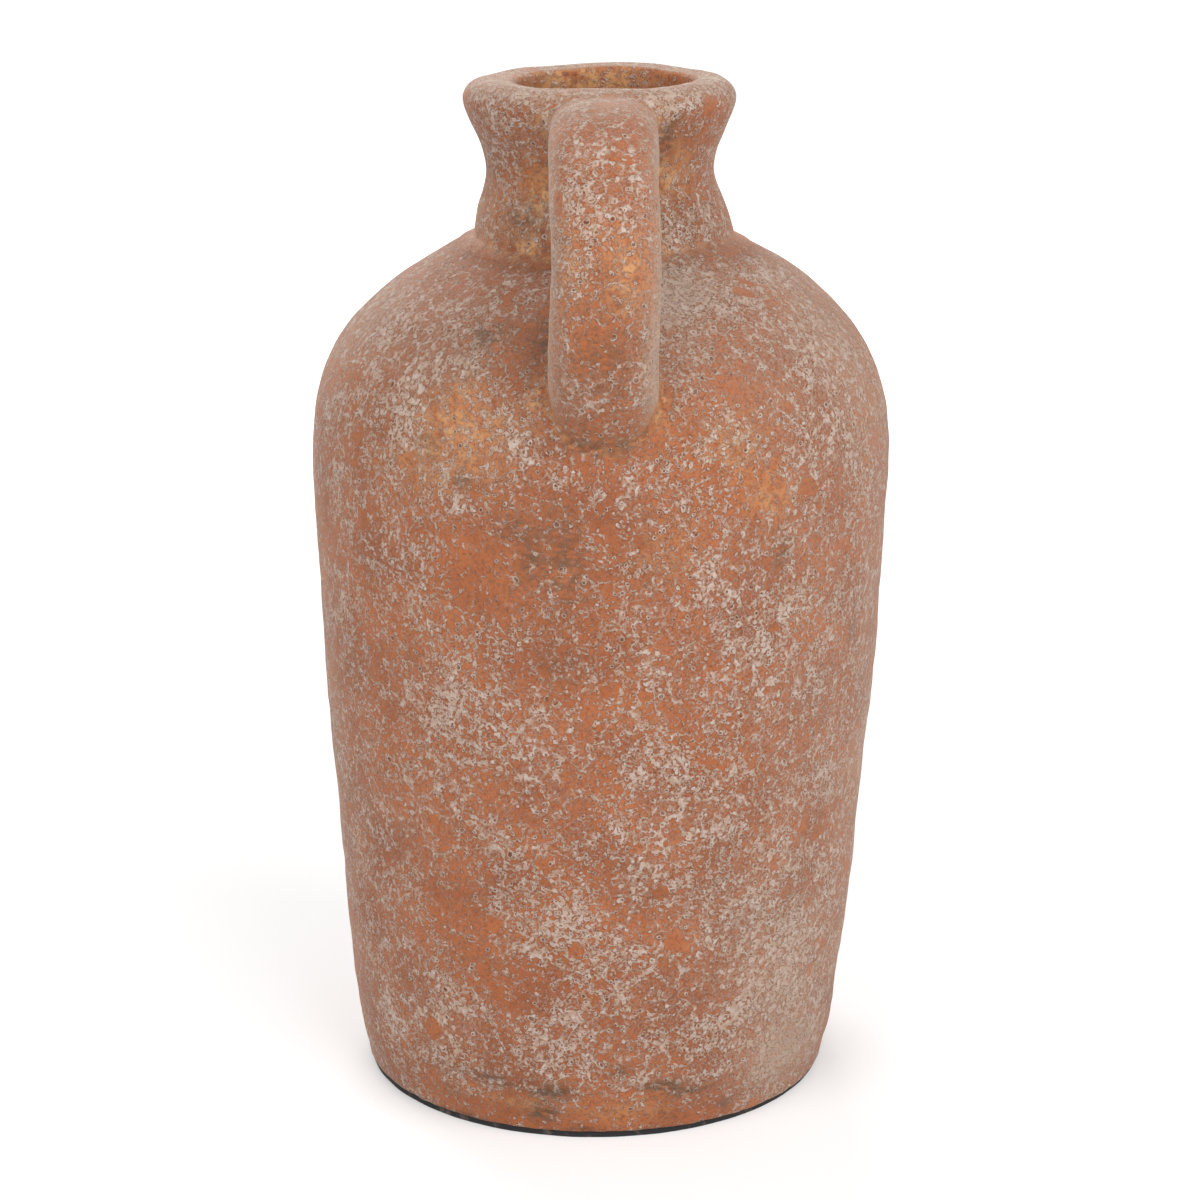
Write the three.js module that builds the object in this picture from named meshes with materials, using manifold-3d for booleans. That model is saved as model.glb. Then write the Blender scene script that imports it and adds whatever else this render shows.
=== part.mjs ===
// Terracotta jug vase: a tall tapering pot with a broad rounded shoulder, a short flared neck with a
// thick lip, and one ear handle from the lip to the shoulder, standing on a thin pad.
// Millimetres, +Z up, origin on the table under the middle of the foot, handle towards -Y.

import * as THREE from 'three';
import { mergeVertices } from 'three/addons/utils/BufferGeometryUtils.js';
import Module from 'manifold-3d';

const degrees = THREE.MathUtils.degToRad;

// Joints between the pieces.
const GLUE_LINE = 0.3; // adhesive between pad and foot
const SLIP_LINE = 0.3; // clay slip between luted pieces

// Pad under the foot.
const PAD_INSET = 1; // pad edge inside the edge of the foot
const PAD_THICKNESS = 2;
const PAD_CHAMFER = 0.4;

// Foot dish: the floor and the lowest ring of the wall.
const FOOT_RADIUS = 83.3;
const FOOT_HEIGHT = 15.3;
const FOOT_EDGE = 2.2; // rounding under the outer edge
const FOOT_SPREAD = 3.5; // widening of the foot up to the seam
const FOOT_LEAN = degrees(12); // outward lean above the rounding
const FLOOR_THICKNESS = 11;
const FLOOR_COVE = 6; // rounding between floor and wall inside
const LAP_WIDTH = 4; // upstand of the dish that the wall is set over
const LAP_HEIGHT = 4;

// Body wall, from the seam on the foot dish to the seat of the neck.
const WALL_THICKNESS = 8.5;
const WALL_HEIGHT = 202.1; // seam to the widest ring
const WALL_LEAN = degrees(6); // outward lean at the seam
const WALL_LOW_PULL = 40; // how long the wall keeps that lean
const WALL_HIGH_PULL = 44; // how long it stays upright below the widest ring
const BELLY_RADIUS = 101;
const SHOULDER_HEIGHT = 80.5; // widest ring to the seat of the neck
const SHOULDER_LOW_PULL = 32; // how long the shoulder stays upright
const SHOULDER_HIGH_PULL = 56.5; // how long it keeps its slope below the neck
const SHOULDER_SLOPE = degrees(27.4);
const SEAT_LEDGE = 0.7; // shoulder left clear round the foot of the neck

// Neck collar: walls are measured out from the mouth, heights up from its foot.
const MOUTH_RADIUS = 32.2;
const NECK_FOOT_WALL = 14.7;
const NECK_COVE_OUT = 2.4; // coved rise from the shoulder
const NECK_COVE_RISE = 3.2;
const NECK_FOOT_LEAN = degrees(10.6); // inward lean above the cove
const NECK_LOW_PULL = 14;
const WAIST_WALL = 7.1;
const WAIST_HEIGHT = 23.9;
const WAIST_PULL = 8; // how long the neck stays upright at the waist
const LIP_WALL = 14.6;
const LIP_HEIGHT = 48.2; // widest ring of the lip
const LIP_PULL = 5.4; // how long the lip stays upright below it
const LIP_CROWN = 7; // widest ring to the crest
const CREST_WALL = 6.3; // mouth to the crest
const MOUTH_EDGE = 5.5; // depth of the rounding into the mouth
const SEAT_SETBACK = 5.3; // hole under the neck, wider than the mouth all round

// Ear handle: an elliptical sweep from the lip to the shoulder.
const HANDLE_WIDTH = 35.3;
const HANDLE_THICKNESS = 24;
const HANDLE_SQUARENESS = 2.4; // 2 is an oval section, more is flatter
const HANDLE_BELOW_CREST = 2; // top face under the crest of the lip
const HANDLE_SHANK = 2; // straight run off the lip
const HANDLE_REACH = 66; // outermost face, measured out from the lip
const HANDLE_DROP = 52; // from the middle of the top to the outermost point
const HANDLE_ROOT = 12; // how far the blank runs into the clay before it is trimmed
const LIP_FLARE = 2; // widening of each side at the lip
const SHOULDER_FLARE = 3.5; // widening of each side at the shoulder
const FLARE_LENGTH = 13;

// Facets.
const ROUND_STEPS = 60;
const WALL_STEPS = 7;
const SHOULDER_STEPS = 11;
const NECK_STEPS = 6;
const EDGE_STEPS = 3;
const HANDLE_STEPS = 30; // to a half turn
const HANDLE_SIDES = 24;
const WELD = 1e-4; // points closer than this are one point

// Heights of the stack.
const padTop = PAD_THICKNESS;
const footBottom = padTop + GLUE_LINE;
const footTop = footBottom + FOOT_HEIGHT;
const floorTop = footBottom + FLOOR_THICKNESS;
const bodyBottom = footTop + SLIP_LINE;
const bellyHeight = bodyBottom + WALL_HEIGHT;
const bodyTop = bellyHeight + SHOULDER_HEIGHT;
const neckBottom = bodyTop + SLIP_LINE;
const crestHeight = neckBottom + LIP_HEIGHT + LIP_CROWN;

// Radii of the fitted rings.
const padRadius = FOOT_RADIUS - PAD_INSET;
const seamRadius = FOOT_RADIUS + FOOT_SPREAD;
const innerSeamRadius = seamRadius - WALL_THICKNESS;
const lapRadius = innerSeamRadius + LAP_WIDTH;
const holeRadius = MOUTH_RADIUS + SEAT_SETBACK;
const neckFootRadius = MOUTH_RADIUS + NECK_FOOT_WALL;
const seatRadius = neckFootRadius + SEAT_LEDGE;
const lipRadius = MOUTH_RADIUS + LIP_WALL;

const wasm = await Module();
wasm.setup();

const point = (radius, height) => new THREE.Vector2(radius, height);

/** A point at a distance from another, in a direction measured from the upright towards the outside. */
function leaning(from, angle, distance) {
  return point(from.x + distance * Math.sin(angle), from.y + distance * Math.cos(angle));
}

/** Points of a smooth curve between two ends, each with the pull point that sets its direction. */
function sweep(start, startPull, endPull, end, steps) {
  return new THREE.CubicBezierCurve(start, startPull, endPull, end).getPoints(steps);
}

/** Points of a quarter ellipse from start to end, tangent at both to the axes through corner. */
function quarter(start, corner, end, steps) {
  const points = [];
  for (let i = 0; i <= steps; i += 1) {
    const turn = (Math.PI / 2) * (i / steps);
    const towardsStart = start.clone().sub(corner).multiplyScalar(1 - Math.sin(turn));
    const towardsEnd = end.clone().sub(corner).multiplyScalar(1 - Math.cos(turn));
    points.push(corner.clone().add(towardsStart).add(towardsEnd));
  }
  return points;
}

/** The same outline moved sideways by a distance: to the left of its direction when positive. */
function offset(outline, distance) {
  return outline.map((here, i) => {
    const before = outline[Math.max(i - 1, 0)];
    const after = outline[Math.min(i + 1, outline.length - 1)];
    const along = after.clone().sub(before).normalize();
    return point(here.x - along.y * distance, here.y + along.x * distance);
  });
}

/** Radius of a rising outline at a height, by straight lines between its points. */
function radiusAt(outline, height) {
  const next = outline.findIndex((p) => p.y >= height);
  if (next <= 0) {
    return outline.at(next === 0 ? 0 : -1).x;
  }
  const low = outline[next - 1];
  const high = outline[next];
  return THREE.MathUtils.mapLinear(height, low.y, high.y, low.x, high.x);
}

/** Revolves an outline of radii and heights about the upright axis of the pot. */
function turned(outline) {
  return new THREE.LatheGeometry(outline, ROUND_STEPS).rotateX(Math.PI / 2);
}

/** A closed geometry as a solid that can be cut. */
function solidFrom(geometry) {
  const bare = geometry.clone();
  bare.deleteAttribute('normal');
  bare.deleteAttribute('uv');
  const merged = mergeVertices(bare, WELD);
  const corners = merged.index.array;
  const kept = [];
  for (let i = 0; i < corners.length; i += 3) {
    const [a, b, c] = corners.slice(i, i + 3);
    if (a !== b && b !== c && c !== a) {
      kept.push(a, b, c);
    }
  }
  return new wasm.Manifold(new wasm.Mesh({
    numProp: 3,
    vertProperties: new Float32Array(merged.attributes.position.array),
    triVerts: new Uint32Array(kept),
  }));
}

/** A cut solid as a geometry. */
function geometryFrom(solid) {
  const mesh = solid.getMesh();
  const geometry = new THREE.BufferGeometry();
  geometry.setAttribute('position', new THREE.BufferAttribute(new Float32Array(mesh.vertProperties), 3));
  geometry.setIndex(new THREE.BufferAttribute(new Uint32Array(mesh.triVerts), 1));
  geometry.computeVertexNormals();
  return geometry;
}

/** Thin disc with its lower edge broken by a chamfer. */
function padOutline() {
  return [
    point(0, 0),
    point(padRadius - PAD_CHAMFER, 0),
    point(padRadius, PAD_CHAMFER),
    point(padRadius, padTop),
    point(0, padTop),
  ];
}

/** Shallow dish: rounded under its edge, coved inside, with an upstand for the wall. */
function footOutline() {
  const edge = point(FOOT_RADIUS, footBottom + FOOT_EDGE);
  const seam = point(seamRadius, footTop);
  const rise = (footTop - edge.y) / 2;
  const flank = sweep(
    edge,
    leaning(edge, FOOT_LEAN, rise),
    leaning(seam, WALL_LEAN, -rise),
    seam,
    EDGE_STEPS,
  );
  const cove = Math.min(FLOOR_COVE, footTop + LAP_HEIGHT - floorTop);
  return [
    point(0, footBottom),
    ...quarter(
      point(FOOT_RADIUS - FOOT_EDGE, footBottom),
      point(FOOT_RADIUS, footBottom),
      edge,
      EDGE_STEPS,
    ),
    ...flank.slice(1),
    point(lapRadius, footTop),
    point(lapRadius, footTop + LAP_HEIGHT),
    point(innerSeamRadius, footTop + LAP_HEIGHT),
    ...quarter(
      point(innerSeamRadius, floorTop + cove),
      point(innerSeamRadius, floorTop),
      point(innerSeamRadius - cove, floorTop),
      EDGE_STEPS,
    ),
    point(0, floorTop),
  ];
}

/** Outside of the body, from the seam up over the shoulder to the seat of the neck. */
function bodyFace() {
  const seam = point(seamRadius, bodyBottom);
  const belly = point(BELLY_RADIUS, bellyHeight);
  const seat = point(seatRadius, bodyTop);
  const wall = sweep(
    seam,
    leaning(seam, WALL_LEAN, WALL_LOW_PULL),
    leaning(belly, 0, -WALL_HIGH_PULL),
    belly,
    WALL_STEPS,
  );
  const shoulder = sweep(
    belly,
    leaning(belly, 0, SHOULDER_LOW_PULL),
    leaning(seat, Math.PI / 2 + SHOULDER_SLOPE, SHOULDER_HIGH_PULL),
    seat,
    SHOULDER_STEPS,
  );
  return [...wall, ...shoulder.slice(1)];
}

/** Hollow body: an even wall, rebated over the foot's upstand, with a flat seat for the neck. */
function bodyOutline() {
  const outside = bodyFace();
  const rebateTop = bodyBottom + LAP_HEIGHT;
  const inside = offset(outside, WALL_THICKNESS);
  const clear = inside.filter((p) => p.x > holeRadius && p.y > rebateTop);
  const rebateRadius = lapRadius + SLIP_LINE;
  return [
    ...outside,
    point(holeRadius, bodyTop),
    point(holeRadius, clear.at(-1).y),
    ...clear.toReversed(),
    point(radiusAt(inside, rebateTop), rebateTop),
    point(rebateRadius, rebateTop),
    point(rebateRadius, bodyBottom),
    outside[0],
  ];
}

/** Outside of the neck, from its foot over the waist and the lip to the crest. */
function neckFace() {
  const foot = point(neckFootRadius, neckBottom);
  const coveTop = point(neckFootRadius - NECK_COVE_OUT, neckBottom + NECK_COVE_RISE);
  const waist = point(MOUTH_RADIUS + WAIST_WALL, neckBottom + WAIST_HEIGHT);
  const lip = point(lipRadius, neckBottom + LIP_HEIGHT);
  const crest = point(MOUTH_RADIUS + CREST_WALL, crestHeight);
  const cove = quarter(foot, point(coveTop.x, foot.y), coveTop, EDGE_STEPS);
  const lower = sweep(
    coveTop,
    leaning(coveTop, -NECK_FOOT_LEAN, NECK_LOW_PULL),
    leaning(waist, 0, -WAIST_PULL),
    waist,
    NECK_STEPS,
  );
  const upper = sweep(waist, leaning(waist, 0, WAIST_PULL), leaning(lip, 0, -LIP_PULL), lip, NECK_STEPS);
  const crown = quarter(lip, point(lip.x, crest.y), crest, EDGE_STEPS + 1);
  return [...cove, ...lower.slice(1), ...upper.slice(1), ...crown.slice(1)];
}

/** Neck with a straight mouth, a rounded lip and a flat foot. */
function neckOutline() {
  const outside = neckFace();
  return [
    point(MOUTH_RADIUS, neckBottom),
    ...outside,
    ...quarter(
      outside.at(-1),
      point(MOUTH_RADIUS, crestHeight),
      point(MOUTH_RADIUS, crestHeight - MOUTH_EDGE),
      EDGE_STEPS,
    ).slice(1),
    point(MOUTH_RADIUS, neckBottom),
  ];
}

/** Space that a pot piece fills with the slip round it: its grown outside, closed to the axis. */
function slipSpace(face) {
  const grown = offset(face, -SLIP_LINE);
  return solidFrom(turned([point(0, grown[0].y), ...grown, point(0, grown.at(-1).y)]));
}

/** Middle line of the handle as distances from the axis and heights, from inside the lip to the shoulder. */
function handlePath() {
  const shoulder = bodyFace();
  const topHeight = crestHeight - HANDLE_BELOW_CREST - HANDLE_THICKNESS / 2;
  const turnStart = lipRadius + HANDLE_SHANK;
  const span = lipRadius + HANDLE_REACH - HANDLE_THICKNESS / 2 - turnStart;
  const path = [point(lipRadius - HANDLE_ROOT, topHeight), point(lipRadius, topHeight)];
  for (let i = 0; i <= HANDLE_STEPS; i += 1) {
    const turn = (Math.PI * i) / HANDLE_STEPS;
    const here = point(turnStart + span * Math.sin(turn), topHeight - HANDLE_DROP * (1 - Math.cos(turn)));
    path.push(here);
    if (here.x < radiusAt(shoulder, here.y) - HANDLE_ROOT) {
      break;
    }
  }
  return path;
}

/** Widening of the section at a distance from a joint: full at the joint, gone after the flare length. */
function widening(amount, distance) {
  const left = THREE.MathUtils.clamp(1 - distance / FLARE_LENGTH, 0, 1);
  return amount * left * left;
}

/** Handle blank: a rounded strap section carried along the middle line, with its ends closed. */
function handleBlank() {
  const path = handlePath();
  const shoulder = bodyFace();
  const bend = (value) => Math.sign(value) * Math.abs(value) ** (2 / HANDLE_SQUARENESS);
  const positions = [];
  path.forEach((here, i) => {
    const before = path[Math.max(i - 1, 0)];
    const after = path[Math.min(i + 1, path.length - 1)];
    const along = after.clone().sub(before).normalize();
    const upperHalf = here.y > bodyTop;
    const atLip = upperHalf ? widening(LIP_FLARE, here.x - lipRadius) : 0;
    const atShoulder = upperHalf ? 0 : widening(SHOULDER_FLARE, here.x - radiusAt(shoulder, here.y));
    const halfWidth = HANDLE_WIDTH / 2 + atLip + atShoulder;
    for (let side = 0; side < HANDLE_SIDES; side += 1) {
      const turn = (2 * Math.PI * side) / HANDLE_SIDES;
      const across = halfWidth * bend(Math.cos(turn));
      const out = (HANDLE_THICKNESS / 2) * bend(Math.sin(turn));
      positions.push(across, -(here.x - along.y * out), here.y + along.x * out);
    }
  });
  const first = path[0];
  const last = path.at(-1);
  const firstCentre = positions.length / 3;
  positions.push(0, -first.x, first.y, 0, -last.x, last.y);
  const corners = [];
  const lastRing = (path.length - 1) * HANDLE_SIDES;
  for (let side = 0; side < HANDLE_SIDES; side += 1) {
    const next = (side + 1) % HANDLE_SIDES;
    for (let ring = 0; ring < lastRing; ring += HANDLE_SIDES) {
      const [a, b] = [ring + side, ring + next];
      corners.push(a, b, a + HANDLE_SIDES, b, b + HANDLE_SIDES, a + HANDLE_SIDES);
    }
    corners.push(firstCentre, next, side, firstCentre + 1, lastRing + side, lastRing + next);
  }
  const geometry = new THREE.BufferGeometry();
  geometry.setAttribute('position', new THREE.Float32BufferAttribute(positions, 3));
  geometry.setIndex(corners);
  return geometry;
}

/** Handle trimmed to the lip and the shoulder, with the slip line between. */
function handleGeometry() {
  return geometryFrom(
    solidFrom(handleBlank()).subtract(slipSpace(neckFace())).subtract(slipSpace(bodyFace())),
  );
}

const terracotta = new THREE.MeshStandardMaterial({ color: 0xb0764f, roughness: 0.85, metalness: 0 });
const limeWashedClay = new THREE.MeshStandardMaterial({ color: 0xb58a72, roughness: 0.9, metalness: 0 });
const blackRubber = new THREE.MeshStandardMaterial({ color: 0x17161a, roughness: 0.95, metalness: 0 });

function piece(name, geometry, material) {
  const mesh = new THREE.Mesh(geometry, material);
  mesh.name = name;
  return mesh;
}

const vase = new THREE.Group();
vase.name = 'jug_vase';
vase.add(
  piece('base_pad', turned(padOutline()), blackRubber),
  piece('foot_dish', turned(footOutline()), terracotta),
  piece('body_wall', turned(bodyOutline()), terracotta),
  piece('neck_collar', turned(neckOutline()), limeWashedClay),
  piece('handle', handleGeometry(), limeWashedClay),
);

export default vase;
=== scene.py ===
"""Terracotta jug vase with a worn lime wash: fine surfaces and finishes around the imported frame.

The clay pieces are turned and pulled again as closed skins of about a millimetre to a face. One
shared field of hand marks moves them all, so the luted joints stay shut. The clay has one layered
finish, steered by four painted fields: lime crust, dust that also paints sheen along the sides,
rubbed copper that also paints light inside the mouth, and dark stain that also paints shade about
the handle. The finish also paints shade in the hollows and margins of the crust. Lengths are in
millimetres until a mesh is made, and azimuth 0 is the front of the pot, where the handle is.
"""

import logging
import math
from dataclasses import dataclass
from enum import Enum

import bpy
import numpy as np
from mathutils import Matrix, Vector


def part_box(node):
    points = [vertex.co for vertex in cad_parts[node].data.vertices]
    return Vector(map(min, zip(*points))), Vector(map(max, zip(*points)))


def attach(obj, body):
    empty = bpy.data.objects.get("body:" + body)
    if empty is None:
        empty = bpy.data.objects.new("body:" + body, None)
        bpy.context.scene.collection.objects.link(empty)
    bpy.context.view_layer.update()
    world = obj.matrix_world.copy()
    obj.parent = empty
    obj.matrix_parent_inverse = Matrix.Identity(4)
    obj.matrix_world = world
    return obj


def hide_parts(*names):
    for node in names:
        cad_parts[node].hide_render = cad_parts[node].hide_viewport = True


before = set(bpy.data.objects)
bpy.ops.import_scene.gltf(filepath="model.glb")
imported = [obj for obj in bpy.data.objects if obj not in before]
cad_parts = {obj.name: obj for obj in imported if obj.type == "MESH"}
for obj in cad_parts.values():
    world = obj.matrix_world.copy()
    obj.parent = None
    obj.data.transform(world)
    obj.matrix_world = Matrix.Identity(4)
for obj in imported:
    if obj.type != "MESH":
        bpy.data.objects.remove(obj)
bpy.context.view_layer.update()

MM = 0.001
CREASE = math.radians(48)
ROUND = math.inf
log = logging.getLogger("jug_vase")

Pair = tuple[float, float]
Triple = tuple[float, float, float]
Tree = bpy.types.NodeTree
Socket = bpy.types.NodeSocket
Material = bpy.types.Material


class Slot(Enum):
    """Material slots of the record."""

    CLAY = "terracotta"
    PAD = "black_rubber"


class Field(Enum):
    """Painted fields that the clay finish reads from its meshes."""

    CRUST = "crust"
    # Dust, which also paints sheen along the sides of the pot and the edges of the strap.
    DUST_AND_SHEEN = "dust"
    COPPER = "copper"
    # Dark stain, which also paints shade beside and below the handle and on the neck beside it.
    STAIN_AND_SHADE = "stain"


# Drawing helpers

def hex_linear(code: str) -> tuple[float, float, float, float]:
    """Turns an sRGB hex value into a linear colour.

    Args:
        code: Colour such as "#b0764f".

    Returns:
        Red, green, blue and full alpha.
    """
    channels = np.array([int(code[i:i + 2], 16) for i in (1, 3, 5)]) / 255
    linear = np.where(channels <= 0.04045, channels / 12.92, ((channels + 0.055) / 1.055) ** 2.4)
    return (*linear.tolist(), 1.0)


def sweep(start: Pair, leave: Pair, end: Pair, arrive: Pair, steps: int = 200) -> np.ndarray:
    """Draws a cubic curve between two ends. At each end, it keeps for a while to a lean from the upright.

    Args:
        start: First end, radius and height.
        leave: Lean there in degrees, positive outwards, and how far the curve is pulled along it.
        end: Last end.
        arrive: Lean and pull there.
        steps: Number of steps.

    Returns:
        Points as rows of radius and height.
    """
    t = np.linspace(0.0, 1.0, steps + 1)[:, None]
    leans = np.radians((leave[0], arrive[0]))
    a, d = np.asarray(start, float), np.asarray(end, float)
    b = a + leave[1] * np.array([np.sin(leans[0]), np.cos(leans[0])])
    c = d - arrive[1] * np.array([np.sin(leans[1]), np.cos(leans[1])])
    return (1 - t) ** 3 * a + 3 * (1 - t) ** 2 * t * b + 3 * (1 - t) * t ** 2 * c + t ** 3 * d


def quarter(start: Pair, corner: Pair, end: Pair, steps: int = 40) -> np.ndarray:
    """Draws a quarter ellipse, tangent at both ends to the axes through the corner.

    Args:
        start: First end, radius and height.
        corner: Where the two tangents meet.
        end: Last end.
        steps: Number of steps.

    Returns:
        Points as rows of radius and height.
    """
    turn = np.linspace(0.0, math.pi / 2, steps + 1)[:, None]
    a, b, c = (np.asarray(p, float) for p in (start, corner, end))
    return b + (a - b) * (1 - np.sin(turn)) + (c - b) * (1 - np.cos(turn))


def run_along(points: np.ndarray) -> np.ndarray:
    """Length along a line at each of its points: the summed lengths of its steps."""
    return np.concatenate([[0.0], np.cumsum(np.hypot(*np.diff(points, axis=0).T))])


def even(points: np.ndarray | list[Pair], spacing: float) -> np.ndarray:
    """Spaces a line's points evenly by its length, keeping both ends.

    Args:
        points: Rows of radius and height.
        spacing: Wanted distance between points.

    Returns:
        The new rows.
    """
    line = np.asarray(points, float)
    run = run_along(line)
    wanted = np.linspace(0.0, run[-1], max(1, round(run[-1] / spacing)) + 1)
    return np.column_stack([np.interp(wanted, run, line[:, k]) for k in (0, 1)])


def polar(points: np.ndarray) -> tuple[np.ndarray, np.ndarray]:
    """Azimuth of points from the front, in radians, and their radius: a = atan2(x, -y), r = |(x, y)|."""
    return np.arctan2(points[..., 0], -points[..., 1]), np.hypot(points[..., 0], points[..., 1])


def in_space(radius: np.ndarray, azimuth: np.ndarray, height: np.ndarray) -> np.ndarray:
    """Points at a radius, azimuth and height: x = r sin a, y = -r cos a."""
    parts = np.broadcast_arrays(radius * np.sin(azimuth), -radius * np.cos(azimuth), height)
    return np.stack(parts, axis=-1)


def revolve(outline: np.ndarray, columns: int) -> np.ndarray:
    """Turns an outline about the pot's axis, into one ring of points for each of its rows."""
    return in_space(outline[:, :1], np.linspace(0.0, 2 * math.pi, columns, endpoint=False), outline[:, 1:])


def ring_noise(azimuth: np.ndarray, seed: int, slowest: int, fastest: int) -> np.ndarray:
    """Sums waves round a ring with random phases, so that the ends meet, to about -1 to 1.

    Args:
        azimuth: Angles in radians.
        seed: Start of the random draws.
        slowest: Fewest waves to a turn.
        fastest: Most waves to a turn.

    Returns:
        One value for each angle.
    """
    counts = np.arange(slowest, fastest + 1)
    phases = np.random.default_rng(seed).uniform(0, 2 * math.pi, len(counts))
    waves = np.sin(azimuth[..., None] * counts + phases)
    return waves.sum(axis=-1) / math.sqrt(len(counts))


@dataclass(frozen=True)
class Skin:
    """Outside of a turned piece: its outline, read by height or by length along it."""

    points: np.ndarray

    @property
    def run(self) -> np.ndarray:
        """Length along the outline at each of its points."""
        return run_along(self.points)

    def radius_at(self, height: np.ndarray) -> np.ndarray:
        """Radius of the outside at heights."""
        return np.interp(height, self.points[:, 1], self.points[:, 0])

    def run_at(self, height: np.ndarray) -> np.ndarray:
        """Length along the outline at heights."""
        return np.interp(height, self.points[:, 1], self.run)

    def sunk(self, depth: float) -> np.ndarray:
        """Outline moved into the clay, square to itself."""
        slopes = np.gradient(self.points, self.run, axis=0)
        return self.points + depth * np.column_stack([-slopes[:, 1], slopes[:, 0]])

    def place(self, run: np.ndarray, azimuth: np.ndarray, sink: float) -> np.ndarray:
        """Finds points on the outside, sunk square to it.

        Args:
            run: Lengths along the outline.
            azimuth: Angles from the front, in radians.
            sink: Depth below the surface.

        Returns:
            Points in space.
        """
        radius, height = (np.interp(run, self.run, line) for line in self.sunk(sink).T)
        return in_space(radius, azimuth, height)


@dataclass(frozen=True)
class Ripple:
    """One scale of unevenness: the length of its waves and how far they move the clay."""

    length: float
    push: float


@dataclass(frozen=True)
class Spot:
    """Soft patch on the pot: where it is, its half sizes and how strong it is."""

    azimuth: float
    height: float
    across: float
    along: float
    amount: float

    def on(self, points: np.ndarray) -> np.ndarray:
        """Works out the patch at points: a bell curve of the distances across and along it.

        Args:
            points: Array whose last axis is x, y and z.

        Returns:
            Its strength at each point.
        """
        azimuth, radius = polar(points)
        turn = (azimuth - math.radians(self.azimuth) + math.pi) % (2 * math.pi) - math.pi
        across = turn * radius / self.across
        along = (points[..., 2] - self.height) / self.along
        return self.amount * np.exp(-across ** 2 - along ** 2)


Spots = tuple[Spot, ...]


def spots(*rows: tuple[float, float, float, float, float]) -> Spots:
    """Makes patches from rows of azimuth, height, half size across, half size along and amount."""
    return tuple(Spot(*row) for row in rows)


def painted(points: np.ndarray, base: float, patches: Spots) -> np.ndarray:
    """Adds up the patches of a painted field over its base value."""
    return base + sum((patch.on(points) for patch in patches), np.zeros(points.shape[:-1]))


@dataclass(frozen=True)
class HandMarks:
    """Smooth field that moves every clay piece alike: a slight lean, dents and the waves left by hands."""

    seed: int = 7
    waves: int = 16
    ripples: tuple[Ripple, ...] = (Ripple(75, 0.34), Ripple(27, 0.17), Ripple(9, 0.07))
    still_below: float = 12.0
    foot_drift: float = -1.9
    drift_power: float = 1.5
    drift_height: float = 190.0
    neck_drift: float = 0.8
    neck_height: float = 310.0
    neck_reach: float = 14.0
    outward: Spots = spots(
        (-90, 294, 70, 12, -1.8), (90, 293, 60, 11, 1.4), (-90, 190, 60, 50, -0.5),
        (-28, 228.5, 2.4, 2.4, 0.9),
    )
    upward: Spots = spots((-118, 356, 36, 14, -1.1), (112, 356, 22, 14, -0.35))

    def moved(self, points: np.ndarray) -> np.ndarray:
        """Moves points by the lean and by plane waves in random directions, summed at each scale.

        Args:
            points: Array whose last axis is x, y and z.

        Returns:
            The moved points, in the same shape.
        """
        draw = np.random.default_rng(self.seed)
        offset = np.zeros_like(points)
        for ripple in self.ripples:
            heading = draw.normal(size=(3, self.waves))
            heading *= 2 * math.pi / (ripple.length * np.linalg.norm(heading, axis=0))
            phase = draw.uniform(0, 2 * math.pi, self.waves)
            push = draw.normal(size=(self.waves, 3)) * ripple.push / math.sqrt(self.waves)
            offset += np.sin(points @ heading + phase) @ push
        height = points[..., 2]
        offset *= np.clip(height / self.still_below, 0, 1)[..., None]
        low = np.clip(1 - height / self.drift_height, 0, 1) ** self.drift_power
        neck = np.exp(-((height - self.neck_height) / self.neck_reach) ** 2)
        offset[..., 0] += self.foot_drift * low + self.neck_drift * neck
        push_out = painted(points, 0.0, self.outward) / np.maximum(polar(points)[1], 1.0)
        offset[..., :2] += points[..., :2] * push_out[..., None]
        offset[..., 2] += painted(points, 0.0, self.upward)
        return points + offset


# Mesh helpers

def in_scene(name: str, data: bpy.types.ID) -> bpy.types.Object:
    """Makes an object and links it to the scene.

    Args:
        name: Its name.
        data: Its mesh, light or camera.

    Returns:
        The object.
    """
    made = bpy.data.objects.new(name, data)
    bpy.context.scene.collection.objects.link(made)
    return made


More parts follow.
